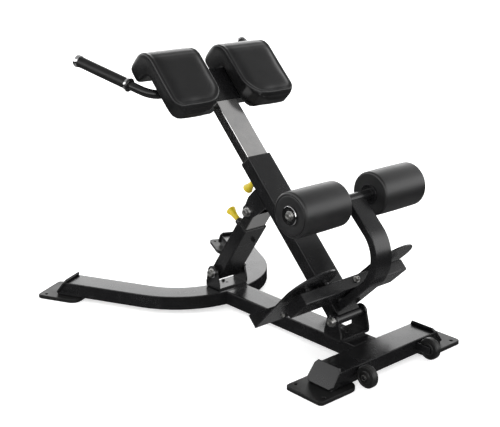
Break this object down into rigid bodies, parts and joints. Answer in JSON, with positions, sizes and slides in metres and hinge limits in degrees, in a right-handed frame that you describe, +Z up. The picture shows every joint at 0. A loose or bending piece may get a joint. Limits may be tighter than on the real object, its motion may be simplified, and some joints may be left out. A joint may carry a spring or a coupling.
{
  "type": "roman chair",
  "caption": "Back extension bench with a slanted telescopic beam, hip pads, foam ankle rollers, foot plates and an arched floor frame.",
  "frame": {"origin": "centre of the whole object's plan, on the floor", "axes": "+Z up, +Y the way the user faces from the foot plates towards the hip pads, +X to the user's right"},
  "size_m": [0.9996, 1.3938, 0.9147],
  "materials": {
    "black_powder_coat": "satin",
    "black_rubber": "matte",
    "chrome": "polished",
    "zinc_steel": "satin",
    "plated_tube": "satin",
    "foam_roller": "matte",
    "pad_cover": "satin",
    "black_plastic": "satin",
    "yellow_plastic": "satin"
  },
  "bodies": {
    "base": {"rear_arch_tube": "black_powder_coat", "spine_tube": "black_powder_coat", "foot_cross_tube": "black_powder_coat", "arch_end_plate_left": "black_powder_coat", "arch_end_plate_right": "black_powder_coat", "cross_end_plate_left": "black_powder_coat", "cross_end_plate_right": "black_powder_coat", "arch_foot_left": "black_rubber", "arch_foot_right": "black_rubber", "cross_foot_left": "black_rubber", "cross_foot_right": "black_rubber", "front_clevis": "black_powder_coat", "rear_clevis": "black_powder_coat", "front_pivot_bolt": "chrome", "rear_pivot_bolt": "chrome", "wheel_bracket_left": "black_powder_coat", "wheel_bracket_right": "black_powder_coat", "wheel_nut_left": "zinc_steel", "wheel_nut_right": "zinc_steel"},
    "transport_wheel_left": {"wheel_left": "black_rubber"},
    "transport_wheel_right": {"wheel_right": "black_rubber"},
    "beam": {"beam_sleeve": "black_powder_coat", "hinge_barrel": "black_powder_coat", "sleeve_liner": "black_plastic", "roller_arm": "black_powder_coat", "roller_axle": "black_powder_coat", "roller_cap_left": "chrome", "roller_cap_right": "chrome", "footrest_bar": "black_powder_coat", "foot_plate_left": "black_powder_coat", "foot_plate_right": "black_powder_coat", "strut_bracket": "black_powder_coat", "beam_pin_housing": "black_plastic", "beam_pin_spring": "zinc_steel"},
    "foam_roller_left": {"roller_left": "foam_roller"},
    "foam_roller_right": {"roller_right": "foam_roller"},
    "beam_pull_pin": {"beam_pin": "zinc_steel", "beam_knob": "yellow_plastic"},
    "head": {"inner_tube": "plated_tube", "pad_cross_member": "black_powder_coat", "pad_mount_plate": "black_powder_coat", "pad_board_left": "black_plastic", "pad_board_right": "black_plastic", "hip_pad_left": "pad_cover", "hip_pad_right": "pad_cover", "handle_rail": "black_powder_coat", "grip_left": "black_rubber", "grip_right": "black_rubber", "handle_cap_left": "chrome", "handle_cap_right": "chrome", "grip_ring_left": "chrome", "grip_ring_right": "chrome"},
    "strut_tube": {"strut_outer": "black_powder_coat", "strut_pin_housing": "black_plastic", "strut_pin_spring": "zinc_steel"},
    "strut_pull_pin": {"strut_pin": "zinc_steel", "strut_knob": "yellow_plastic"},
    "strut_rod": {"strut_inner": "plated_tube", "top_pivot_bolt": "chrome"}
  },
  "joints": [
    {"name": "beam_tilt", "type": "hinge", "parent": "base", "child": "beam", "pos_m": [0, -0.43939, 0.1258], "axis": [1, 0, 0], "range_deg": [-3.4, 10.3]},
    {"name": "head_slide", "type": "slide", "parent": "beam", "child": "head", "axis": [0, 0.7009, 0.7133], "range_m": [-0.09, 0.15]},
    {"name": "strut_swing", "type": "hinge", "parent": "base", "child": "strut_tube", "pos_m": [0, 0.15261, 0.1243], "axis": [1, 0, 0], "range_deg": [-0.06, 0.16]},
    {"name": "strut_slide", "type": "slide", "parent": "strut_tube", "child": "strut_rod", "axis": [0, -0.5656, 0.8247], "range_m": [-0.03, 0.09]},
    {"name": "beam_pin_pull", "type": "slide", "parent": "beam", "child": "beam_pull_pin", "axis": [0, 0.7133, -0.7009], "range_m": [0, 0.012], "stiffness_N_per_m": 1200, "springref_m": -0.006, "deforming": ["beam_pin_spring"]},
    {"name": "strut_pin_pull", "type": "slide", "parent": "strut_tube", "child": "strut_pull_pin", "axis": [0, 0.8247, 0.5656], "range_m": [0, 0.012], "stiffness_N_per_m": 1200, "springref_m": -0.006, "deforming": ["strut_pin_spring"]},
    {"name": "roller_spin_left", "type": "hinge", "parent": "beam", "child": "foam_roller_left", "pos_m": [-0.172, -0.44833, 0.51832], "axis": [1, 0, 0], "continuous": true},
    {"name": "wheel_spin_left", "type": "hinge", "parent": "base", "child": "transport_wheel_left", "pos_m": [-0.147, -0.66139, 0.0435], "axis": [1, 0, 0], "continuous": true},
    {"name": "roller_spin_right", "type": "hinge", "parent": "beam", "child": "foam_roller_right", "pos_m": [0.172, -0.44833, 0.51832], "axis": [1, 0, 0], "continuous": true},
    {"name": "wheel_spin_right", "type": "hinge", "parent": "base", "child": "transport_wheel_right", "pos_m": [0.147, -0.66139, 0.0435], "axis": [1, 0, 0], "continuous": true}
  ],
  "couplings": [
    {"joint": "strut_swing", "follows": "beam_tilt", "ratio": 0.01446},
    {"joint": "strut_slide", "follows": "beam_tilt", "m_per_rad": 0.49426}
  ]
}
